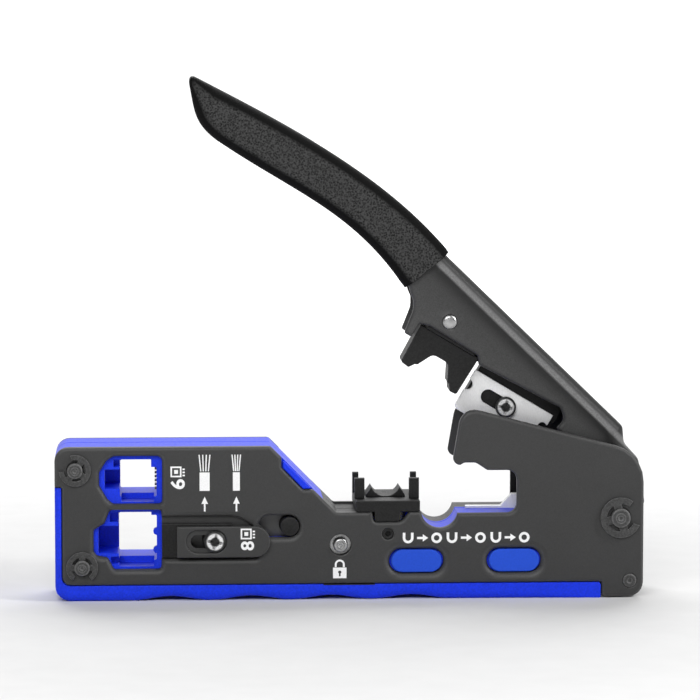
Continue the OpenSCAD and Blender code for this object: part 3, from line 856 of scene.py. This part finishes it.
# ---------------- grip
GRIP_TOP = [Vector(p) for p in ((25.5, 89.97), (9.02, 109.77), (-17.7, 123.59), (-40.9, 135.54))]
GRIP_LOW = [Vector(p) for p in ((13.98, 80.61), (0.8, 100.7), (-15.04, 105.66), (-34.45, 118.94))]
GRIP_TIP = [Vector(p) for p in ((-34.45, 118.94), (-41, 123.74), (-40.23, 127.34), (-41.79, 134.23))]
TIP_SHARE = 0.2


def grip_edges(t):
    """The upper and lower point of the grip's side view at t, from its open end to its tip."""
    top = bezier(GRIP_TOP, t)
    if t < 1 - TIP_SHARE:
        return top, bezier(GRIP_LOW, t / (1 - TIP_SHARE))
    return top, bezier(GRIP_TIP, (t - 1 + TIP_SHARE) / TIP_SHARE)


def grip_ring(t, draw_in=0.0, steps=10):
    """Points around the sleeve at t, drawn in by that many millimetres: flat sides with round edges."""
    top, low = grip_edges(t)
    half_w = (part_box("lever_grip")[1].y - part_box("lever_grip")[0].y) / 2 / MM
    half_w *= 1 - 0.25 * max(0, (t - 0.85) / 0.15) ** 2
    centre = (top + low) / 2
    up = top - low
    half_h = up.length / 2
    up.normalize()
    half_w -= draw_in
    half_h -= draw_in
    radius = min(3.4, half_h * 0.8)
    ring = []
    for quadrant in range(4):
        su = (1, -1, -1, 1)[quadrant]
        sy = (1, 1, -1, -1)[quadrant]
        for i in range(steps + 1):
            a = math.radians(90 * i / steps)
            cu, cy = (math.cos(a), math.sin(a)) if quadrant % 2 == 0 else (math.sin(a), math.cos(a))
            u = su * (half_h - radius + radius * cu)
            y = sy * (half_w - radius + radius * cy)
            p = centre + up * u
            ring.append(Vector((p.x * MM, y * MM, p.y * MM)))
    return ring


MOUTH_END = 0.0015
TIP_START = 0.985


def make_grip():
    """A sleeve with a rolled mouth around the lever and a rounded tip."""
    mouth = ((0.006, 1.5), (0.0, 1.45), (0.0, 0.5), (MOUTH_END, 0.12))
    rings = [grip_ring(t, draw_in) for t, draw_in in mouth]
    rings += [grip_ring(MOUTH_END + (TIP_START - MOUTH_END) * i / 59) for i in range(1, 60)]
    for i in range(1, 7):
        a = math.radians(15 * i)
        rings.append(grip_ring(TIP_START + (1 - TIP_START) * math.sin(a), 0.7 * (1 - math.cos(a))))
    bm = bmesh.new()
    rings = [[bm.verts.new(p) for p in ring] for ring in rings]
    for one, two in zip(rings, rings[1:]):
        bridge(bm, one, two)
    bm.faces.new(rings[-1])
    bm.faces.new(rings[0])
    bmesh.ops.remove_doubles(bm, verts=bm.verts, dist=1e-7)
    replace(new_object("lever_grip_sleeve", bm, 45), "lever_grip")


# ---------------- lever
SHEET = 0.0015  # thickness of the lever's sheet
BEND = 0.0033  # outer radius of the bend between cheek and back
CREASE = 0.0013  # width of the crease behind the bend
DISH = 0.0007  # depth of the cheek's flat below the bend
HOLE_EDGE = 0.0002
LONGEST_EDGE = 0.06
GRIP_FROM = Vector(GRIP_TOP[0]) * MM - Vector((0.02, -0.02))


REAR_X = 0.07
REAR_LOW = 0.024
REAR_RISE = 0.006


def lever_shares(loop):
    """How far each point of the cheek's outline belongs to the rounded back, from 0 to 1. Behind the pivot the
    back fades out towards the bottom."""
    right = max(range(len(loop)), key=lambda i: loop[i][0])
    tip = min(range(len(loop)), key=lambda i: loop[i][0])
    count = (tip - right) % len(loop)
    shares = [0.0] * len(loop)
    for k in range(count + 1):
        i = (right + k) % len(loop)
        x, z = loop[i]
        shares[i] = clamp((z - REAR_LOW) / REAR_RISE) if x > REAR_X else 1.0
    return shares


def line_distance(p, line):
    """Distance from p to a run of points. A run that starts anew elsewhere leaves a gap, which is skipped."""
    best = 1.0
    for a, b in zip(line, line[1:]):
        a, b = Vector(a), Vector(b)
        along = b - a
        if along.length > LONGEST_EDGE:
            continue
        t = clamp((p - a).dot(along) / max(along.length_squared, 1e-12))
        best = min(best, (p - a - along * t).length)
    return best


def dish(p, back_line, low_line):
    """How far the cheek's flat lies below the rounded back: steep behind the bend, then rising to the
    lower edge."""
    from_back = line_distance(p, back_line) - BEND
    from_low = max(0.0, line_distance(p, low_line) - 0.001)
    if from_back <= 0:
        return 0.0
    near = min(1.0, from_back / CREASE)
    share = from_low / (from_low + from_back)
    return DISH * near * near * (3 - 2 * near) * (1 - (1 - share) ** 1.6)


def dished_cap(bm, rings, y, depth, spacing=0.0011):
    """Fills the face between an outline and its holes with a fine mesh that lies depth(p) deeper than y."""
    verts, edges = boundary(rings)
    points = [Vector((v.co.x, v.co.z)) for v in verts]
    shapes = [[v.co.copy() for v in ring] for ring in rings]

    def within(p):
        return inside(p, shapes[0]) and not any(inside(p, hole) for hole in shapes[1:])

    xs, zs = [p.x for p in points], [p.y for p in points]
    for i in range(int((max(xs) - min(xs)) / spacing)):
        for j in range(int((max(zs) - min(zs)) / spacing)):
            x, z = min(xs) + (i + 0.5 * (j % 2)) * spacing, min(zs) + j * spacing
            if (x > GRIP_FROM.x or z < GRIP_FROM.y) and within(Vector((x, 0, z))):
                if min((Vector((x, z)) - q).length for q in points[:len(verts)]) > spacing * 0.45:
                    points.append(Vector((x, z)))
    coords, _, faces, origin = delaunay_2d_cdt(points, edges, [], 1, 1e-8)[:4]
    made = []
    for place, source in zip(coords, origin):
        known = [k for k in source if k < len(verts)]
        if known:
            made.append(verts[known[0]])
        else:
            made.append(bm.verts.new((place.x, y + depth(Vector(place)), place.y)))
    for face in faces:
        corners = [made[k] for k in face]
        new = len(set(corners)) == len(corners) and not bm.faces.get(corners)
        if new and within(face_centre(coords, face)):
            bm.faces.new(corners).smooth = True


def lever_half(bm, side):
    """One cheek with half of the back: outside, inside and the rim between them."""
    half = abs(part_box("lever")[1].y)
    loops = flat_loops_of("lever", -half)
    outer = dense(loops[0], SPREAD)
    shares = lever_shares(outer)
    rims = [0.001 + s * (BEND - 0.001) for s in shares]
    inner_y = -half + SHEET

    def ring(amounts, ys):
        return ring_of(bm, inset(outer, amounts), [side * y for y in ys])

    rings = [ring([0.0] * len(outer), [inner_y * (1 - s) for s in shares])]
    for k in range(9):
        a = math.radians(90 * k / 8)
        rings.append(ring([r * (1 - math.cos(a)) for r in rims],
                          [-half + r * (1 - math.sin(a)) for r in rims]))
    inner = []
    reach = BEND - SHEET
    for k in range(7):
        a = math.radians(90 * k / 6)
        inner.append(ring([s * (BEND - reach * math.sin(a)) for s in shares],
                          [inner_y + s * reach * (1 - math.cos(a)) for s in shares]))
    inner.append(ring([s * SHEET for s in shares], [inner_y * (1 - s) for s in shares]))
    for one, two in list(zip(rings, rings[1:])) + list(zip(inner, inner[1:])):
        bridge(bm, one, two)
    for i in range(len(outer)):
        j = (i + 1) % len(outer)
        if shares[i] < 1 or shares[j] < 1:
            bm.faces.new((rings[0][i], rings[0][j], inner[-1][j], inner[-1][i]))
    fronts, backs = [rings[-1]], [inner[0]]
    back_line = [p for p, s in zip(outer, shares) if s > 0.5]
    low_line = [p for p, s in zip(outer, shares) if s <= 0.5]
    for loop in loops[1:]:
        walls = [ring_of(bm, loop, [side * inner_y] * len(loop)),
                 ring_of(bm, loop, [side * (-half + HOLE_EDGE)] * len(loop)),
                 ring_of(bm, inset(loop, [HOLE_EDGE] * len(loop)), [side * -half] * len(loop))]
        for one, two in zip(walls, walls[1:]):
            bridge(bm, one, two)
        fronts.append(walls[-1])
        backs.append(walls[0])
    dished_cap(bm, fronts, side * -half, lambda p: side * dish(p, back_line, low_line))
    cap(bm, backs)


def make_lever():
    bm = bmesh.new()
    for side in (1, -1):
        lever_half(bm, side)
    bmesh.ops.remove_doubles(bm, verts=bm.verts, dist=1e-6)
    obj = finish_slabs(bm, "lever", angle=50)
    settle(obj, "lever", "lever_painted_light_coat")


# ---------------- screws, pins and clips
def phillips_head(name, x, z, r, y_tip, y_seat, y_end, shank_r):
    """A pan-head screw along Y with its head towards -Y, in millimetres except x and z."""
    dome = 0.35
    profile = [(y_tip, 0), (y_tip, r * 0.55), (y_tip + dome * 0.3, r * 0.82), (y_tip + dome, r * 0.97),
               (y_tip + dome + 0.15, r), (y_seat - 0.1, r), (y_seat, r - 0.1), (y_seat, shank_r),
               (y_end - 0.3, shank_r), (y_end, shank_r - 0.3), (y_end, 0)]
    screw = lathe(name, profile, x, z)
    cutter = bmesh.new()
    for turn in (10, 100):
        for length, width, depth in ((r * 1.25, 0.75, 1.0), (r * 1.9, 0.5, 0.45)):
            made = bmesh.ops.create_cube(cutter, size=1.0)["verts"]
            bmesh.ops.scale(cutter, verts=made, vec=(length * MM, depth * 2 * MM, width * MM))
            bmesh.ops.rotate(cutter, verts=made, matrix=Matrix.Rotation(math.radians(turn), 3, "Y"))
            bmesh.ops.translate(cutter, verts=made, vec=(x, y_tip * MM, z))
    tool = new_object("cross_cutter", cutter)
    mod = screw.modifiers.new("cut", "BOOLEAN")
    mod.object = tool
    mod.solver = "EXACT"
    mod.use_self = True
    bake_modifiers(screw)
    bpy.data.objects.remove(tool)
    shade(screw, 32)
    return screw


BLADE_SCREW_CLOSED = (30.6, 30.3)


def make_screws():
    knife = middle("knife_screw")
    blade = opened(*BLADE_SCREW_CLOSED)
    for node, x, z, r, seat, shank_r in (("knife_screw", knife.x, knife.z, 2.8, 1.3, 1.45),
                                         ("blade_screw", blade.x, blade.y, 2.7, 1.45, 1.38)):
        low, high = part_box(node)
        front = low.y / MM
        screw = phillips_head(f"{node}_piece", x, z, r, front, front + seat, high.y / MM, shank_r)
        MATERIALS[f"worn_{node}"] = worn_screw(f"worn_{node}", x, z)
        replace(screw, node, f"worn_{node}")


def pin_profile(r, head_r, front, back, groove):
    """A headed pin: domed tip with a centre dimple, clip groove, shank and a domed rivet head."""
    seat = BACK / MM
    head = back - seat
    return [(front + 0.35, 0), (front + 0.22, r * 0.22), (front, r * 0.34), (front, r * 0.42),
            (front + 0.12, r * 0.5), (front, r * 0.58), (front, r * 0.74), (front + 0.1, r * 0.9),
            (front + 0.3, r), (groove - 0.02, r), (groove, r - 0.5), (groove + 0.75, r - 0.5),
            (groove + 0.77, r), (seat, r), (seat, head_r), (seat + head * 0.45, head_r),
            (seat + head * 0.75, head_r * 0.9), (back - 0.12, head_r * 0.7), (back, head_r * 0.4), (back, 0)]


END_PINS = ((-71.5, 34.3), (-69.8, 9.0))
CLIP_GROOVE = FRONT / MM - 0.93


def make_pins():
    low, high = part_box("end_pins")
    profile = pin_profile(2.0, 3.4, low.y / MM, high.y / MM, CLIP_GROOVE)
    pins = [lathe(f"pin{i}", profile, x * MM, z * MM) for i, (x, z) in enumerate(END_PINS)]
    replace(join(pins, "end_pins_piece"), "end_pins")
    low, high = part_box("pivot_pin")
    profile = pin_profile(2.5, 4.6, low.y / MM, high.y / MM, CLIP_GROOVE)
    replace(lathe("pivot_pin_piece", profile, PIVOT.x, PIVOT.z), "pivot_pin")


def corner_rivet(f, b):
    return [(f + 0.4, 0), (f + 0.35, 0.5), (f + 0.05, 0.8), (f, 1.1), (f, 1.45), (f + 0.15, 1.7),
            (f + 0.35, 1.8), (b - 1, 1.8), (b - 1, 2.8), (b - 0.5, 2.8), (b - 0.15, 2.3), (b, 1.4), (b, 0)]


def guide_post(f, b):
    return [(f, 0), (f, 2.1), (f + 0.1, 2.33), (f + 0.35, 2.45), (b - 0.35, 2.45), (b - 0.1, 2.33), (b, 2.1),
            (b, 0)]


def lock_button(f, b):
    flange = PLATE_IN / MM
    return [(f + 0.25, 0), (f + 0.2, 0.3), (f, 0.5), (f, 0.85), (f + 0.14, 0.95), (f, 1.05), (f, 1.4),
            (f + 0.12, 1.65), (f + 0.5, 1.9), (flange + 0.05, 1.9), (flange + 0.05, 3.1),
            (flange + 0.85, 3.1), (flange + 0.85, 1.9), (b - 0.3, 1.9), (b, 1.6), (b, 0)]


def upper_die_pin(f, b):
    return [(f, 0), (f, 1.2), (f + 0.12, 1.55), (f + 0.35, 1.8), (b - 0.35, 1.8), (b - 0.1, 1.5), (b, 1.2),
            (b, 0)]


def drive_pin(f, b):
    return [(f, 0), (f, 1.1), (f + 0.3, 1.5), (b - 0.3, 1.5), (b, 1.1), (b, 0)]


def die_pin(f, b):
    return [(f + 1.2, 0), (f + 1.2, 0.75), (f + 0.1, 0.8), (f, 1.0), (f, 1.3), (f + 0.2, 1.5), (b - 0.2, 1.5),
            (b, 1.3), (b, 0.9), (b - 1, 0.75), (b - 1, 0)]


def make_round_parts():
    """Turned parts. Each profile function gives points between the part's front and back depth."""
    for node, profile, slot in (("corner_rivet", corner_rivet, None), ("guide_post", guide_post, None),
                                ("lock_button", lock_button, "rivet_steel"),
                                ("upper_die_pin", upper_die_pin, "rivet_steel"),
                                ("drive_pin", drive_pin, None), ("die_pin", die_pin, None)):
        p = middle(node)
        low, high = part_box(node)
        replace(lathe(f"{node}_piece", profile(low.y / MM, high.y / MM), p.x, p.z), node, slot)


# ---------------- springs
def make_springs():
    bush = middle("pivot_bush")
    wire, coil_r, coils = 0.00045, 0.0044, 3
    low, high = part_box("return_spring")
    y0, y1 = low.y + wire, high.y - wire
    points = [Vector((bush.x - coil_r, y0, low.z + wire + (bush.z - low.z) * k / 4)) for k in range(4)]
    count = 30 * coils
    for i in range(count + 1):
        a = math.pi - 2 * math.pi * (coils - 0.5) * i / count
        points.append(Vector((bush.x + coil_r * math.cos(a), y0 + (y1 - y0) * i / count,
                              bush.z + coil_r * math.sin(a))))
    last = points[-1]
    points += [last.lerp(Vector((last.x, last.y, high.z - wire)), k / 3) for k in (1, 2, 3)]
    replace(tube("return_spring_wire", points, wire), "return_spring")
    lock = middle("lock_button")
    wire, coil_r, coils, count = 0.0003, 0.00265, 4, 96
    low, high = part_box("lock_spring")
    points = []
    for i in range(count + 1):
        a = 2 * math.pi * coils * i / count
        points.append(Vector((lock.x + coil_r * math.cos(a),
                              low.y + wire + (high.y - low.y - 2 * wire) * i / count,
                              lock.z + coil_r * math.sin(a))))
    spring = tube("lock_spring_wire", points, wire, 8)
    replace(spring, "lock_spring")
    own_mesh(spring)


# ---------------- printed marks
MARK_DEPTH = 0.04 * MM


def mesh_of(name, curve):
    """The mesh of a curve or a text that is thick by MARK_DEPTH; the curve's own object isn't kept."""
    curve.extrude = MARK_DEPTH / 2
    shape = linked(name, curve)
    graph = bpy.context.evaluated_depsgraph_get()
    mesh = bpy.data.meshes.new_from_object(shape.evaluated_get(graph))
    bpy.data.objects.remove(shape)
    return mesh


def printed(mesh, name, node, x, y_front, z):
    """Stands a mark upright on the front of its node, with its middle at x, z in metres."""
    mesh.transform(Matrix.Rotation(math.radians(90), 4, "X"))
    mesh.transform(Matrix.Translation((x, y_front - MARK_DEPTH / 2, z)))
    obj = linked(name, mesh)
    settle(obj, node, "print_white")
    return obj


def flat_loops(name, loops, node="front_plate", y_front=FRONT):
    """A thin printed mark from closed outlines in millimetres; an outline inside another is a hole."""
    curve = bpy.data.curves.new(name, "CURVE")
    curve.dimensions = "2D"
    curve.fill_mode = "BOTH"
    for loop in loops:
        spline = curve.splines.new("POLY")
        spline.points.add(len(loop) - 1)
        for point, (x, z) in zip(spline.points, loop):
            point.co = (x * MM, z * MM, 0, 1)
        spline.use_cyclic_u = True
    shade(printed(mesh_of(name, curve), name, node, 0, y_front, 0), 30)


def bar(x0, z0, x1, z1):
    return [(x0, z0), (x1, z0), (x1, z1), (x0, z1)]


def arc(x, z, r, a0, a1, steps=20):
    return [(x + r * math.cos(math.radians(a0 + (a1 - a0) * i / steps)),
             z + r * math.sin(math.radians(a0 + (a1 - a0) * i / steps))) for i in range(steps + 1)]


def numeral(text, name, x, z, height, width, node="front_plate", y_front=FRONT):
    """One digit, turned a quarter to the left, centred on x, z, of that height and width in millimetres."""
    curve = bpy.data.curves.new(name, "FONT")
    curve.body = text
    curve.size = 0.004
    curve.offset = 0.00009
    mesh = mesh_of(name, curve)
    xs, ys = [v.co.x for v in mesh.vertices], [v.co.y for v in mesh.vertices]
    mesh.transform(Matrix.Translation((-(max(xs) + min(xs)) / 2, -(max(ys) + min(ys)) / 2, 0)))
    wide, tall = max(xs) - min(xs), max(ys) - min(ys)
    mesh.transform(Matrix.Diagonal((width * MM / wide, height * MM / tall, 1, 1)))
    mesh.transform(Matrix.Rotation(math.radians(90), 4, "Z"))
    printed(mesh, name, node, x * MM, y_front, z * MM)


def plug_mark(name, x, z, node="front_plate", y_front=FRONT):
    """A small generic plug seen from its end, as a frame with contact lines."""
    loops = [bar(x - 1.85, z - 1.4, x + 1.0, z + 1.4), bar(x - 1.45, z - 1.0, x + 0.6, z + 1.0)]
    loops += [bar(x + 1.25, z - 1.15 + 0.8 * i, x + 1.85, z - 0.75 + 0.8 * i) for i in range(3)]
    loops += [bar(x - 0.9, z - 0.5, x + 0.1, z + 0.5)]
    flat_loops(name, loops, node, y_front)


def cable_mark(name, x, width):
    """An arrow and a stripped cable end, pointing up."""
    flat_loops(name + "_arrow", [[(x - 0.22, 23.4), (x + 0.22, 23.4), (x + 0.22, 25.4), (x + 0.85, 25.4),
                                  (x, 27.3), (x - 0.85, 25.4), (x - 0.22, 25.4)]])
    half = width / 2
    loops = [bar(x - half, 28.8, x + half, 33.6)]
    for k in range(4):
        wire = x - half + (k + 0.5) * width / 4
        tilt = (k - 1.5) * 0.28
        loops.append([(wire - 0.15, 33.9), (wire + 0.15, 33.9), (wire + 0.15 + tilt, 38.2),
                      (wire - 0.15 + tilt, 38.2)])
    flat_loops(name + "_cable", loops)


def clip_marks():
    """Open clip, arrow, closed clip: three times along the lower middle of the front plate."""
    z, outer, inner = 16.1, 1.4, 0.72
    for k in range(3):
        x = 14.6 + 11.4 * k
        ring = x + 7.4
        u_shape = [(x - outer, z + outer)] + arc(x, z, outer, 180, 360, 14)
        u_shape += [(x + outer, z + outer), (x + inner, z + outer)] + arc(x, z, inner, 360, 180, 14)
        u_shape += [(x - inner, z + outer)]
        arrow = [(x + 2.3, z - 0.3), (x + 3.8, z - 0.3), (x + 3.8, z - 0.95), (x + 5.2, z),
                 (x + 3.8, z + 0.95), (x + 3.8, z + 0.3), (x + 2.3, z + 0.3)]
        flat_loops(f"clip_mark_{k}", [u_shape, arrow, arc(ring, z, outer, 0, 342, 19),
                                      arc(ring, z, inner, 0, 342, 19)])


def lock_mark():
    """A plain padlock sign below the lock button."""
    x = middle("lock_button").x / MM - 0.2
    body = bar(x - 1.75, 5.7, x + 1.75, 8.5)
    keyhole = arc(x, 7.3, 0.42, -60, 240, 14) + [(x - 0.22, 6.2), (x + 0.22, 6.2)]
    shackle = ([(x - 1.3, 8.6)] + arc(x, 9.3, 1.3, 180, 0, 14) + [(x + 1.3, 8.6), (x + 0.8, 8.6)]
               + arc(x, 9.3, 0.8, 0, 180, 14) + [(x - 0.8, 8.6)])
    flat_loops("lock_mark", [body, keyhole, shackle])


def make_marks():
    numeral("6", "mark_6", -45.05, 30.6, 3.7, 2.6)
    plug_mark("mark_6_plug", -45.05, 33.8)
    slide_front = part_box("knife_slide")[0].y
    numeral("8", "mark_8", -27.1, 14.6, 3.4, 2.4, "knife_slide", slide_front)
    plug_mark("mark_8_plug", -27.0, 17.7, "knife_slide", slide_front)
    cable_mark("mark_thick", -38.1, 2.6)
    cable_mark("mark_thin", -29.9, 1.8)
    clip_marks()
    lock_mark()


# ---------------- studio
def area_light(name, place, target, size, power):
    light = bpy.data.lights.new(name, "AREA")
    light.shape = "RECTANGLE"
    light.size, light.size_y = size
    light.energy = power
    obj = linked(name, light)
    obj.location = place
    obj.rotation_euler = (Vector(target) - Vector(place)).to_track_quat("-Z", "Y").to_euler()


def make_studio():
    scene = bpy.context.scene
    scene.view_settings.view_transform = "Standard"
    world = bpy.data.worlds.new("studio")
    scene.world = world
    world.use_nodes = True
    world.node_tree.nodes["Background"].inputs["Color"].default_value = (1, 1, 1, 1)
    world.node_tree.nodes["Background"].inputs["Strength"].default_value = 0.12
    sheet("floor", (-2.2, -2.2, 0), (4.4, 0, 0), (0, 4.6, 0), studio_floor("floor"))
    sheet("backdrop", (-2.1, 2.4, -0.01), (4.2, 0, 0), (0, 0, 2.1), glow("backdrop", 1.15))
    area_light("top", (0.0, 0.7, 0.95), (0, 0, 0), (1.3, 0.8), 12.5)
    area_light("key", (-0.25, -0.85, 0.6), (0, 0, 0.06), (0.7, 0.35), 6.5)
    area_light("side", (0.75, -0.3, 0.55), (0, 0, 0.06), (0.15, 0.6), 5)


def sheet(name, corner, along, across, material):
    """A plain sheet of the studio."""
    bm = bmesh.new()
    steps = 8
    grid = [[bm.verts.new(Vector(corner) + Vector(along) * i / steps + Vector(across) * j / steps)
             for i in range(steps + 1)] for j in range(steps + 1)]
    for j in range(steps):
        for i in range(steps):
            bm.faces.new((grid[j][i], grid[j][i + 1], grid[j + 1][i + 1], grid[j + 1][i]))
    mesh = bpy.data.meshes.new(name)
    bm.to_mesh(mesh)
    bm.free()
    obj = linked(name, mesh)
    obj.data.materials.append(material)


def glow(name, strength):
    s = Shader(name)
    s.bsdf.inputs["Base Color"].default_value = (0, 0, 0, 1)
    s.bsdf.inputs["Emission Color"].default_value = (1, 1, 1, 1)
    s.bsdf.inputs["Emission Strength"].default_value = strength
    return s.mat


def make_camera():
    """A long lens a little above the tool; the distance is measured from the front plate."""
    distance, width = 1.0, 0.1805
    elevation, azimuth = math.radians(5.9), math.radians(-2.8)
    target = Vector((-0.0005, FRONT, 0.0652))
    away = Vector((math.sin(azimuth) * math.cos(elevation), -math.cos(azimuth) * math.cos(elevation),
                   math.sin(elevation)))
    data = bpy.data.cameras.new("camera")
    data.sensor_width = 36
    data.lens = 36 * distance / width
    data.clip_start, data.clip_end = 0.01, 20
    camera = linked("camera", data)
    camera.location = target + away * distance
    camera.rotation_euler = (-away).to_track_quat("-Z", "Y").to_euler()
    bpy.context.scene.camera = camera


# ---------------- assembly
make_camera()
make_studio()
make_plates()
make_housing()
make_grip()
make_lever()
make_screws()
make_pins()
make_round_parts()
make_springs()
make_marks()
make_flat_parts()
for plain, rounding in (("ram_rivets", 0.3), ("punch_8p", 0.05), ("punch_6p", 0.05), ("pivot_bush", 0.15),
                        ("pivot_spacers", 0.15), ("corner_spacer", 0.15), ("carrier_rivets", 0.25)):
    dress(plain, rounding)
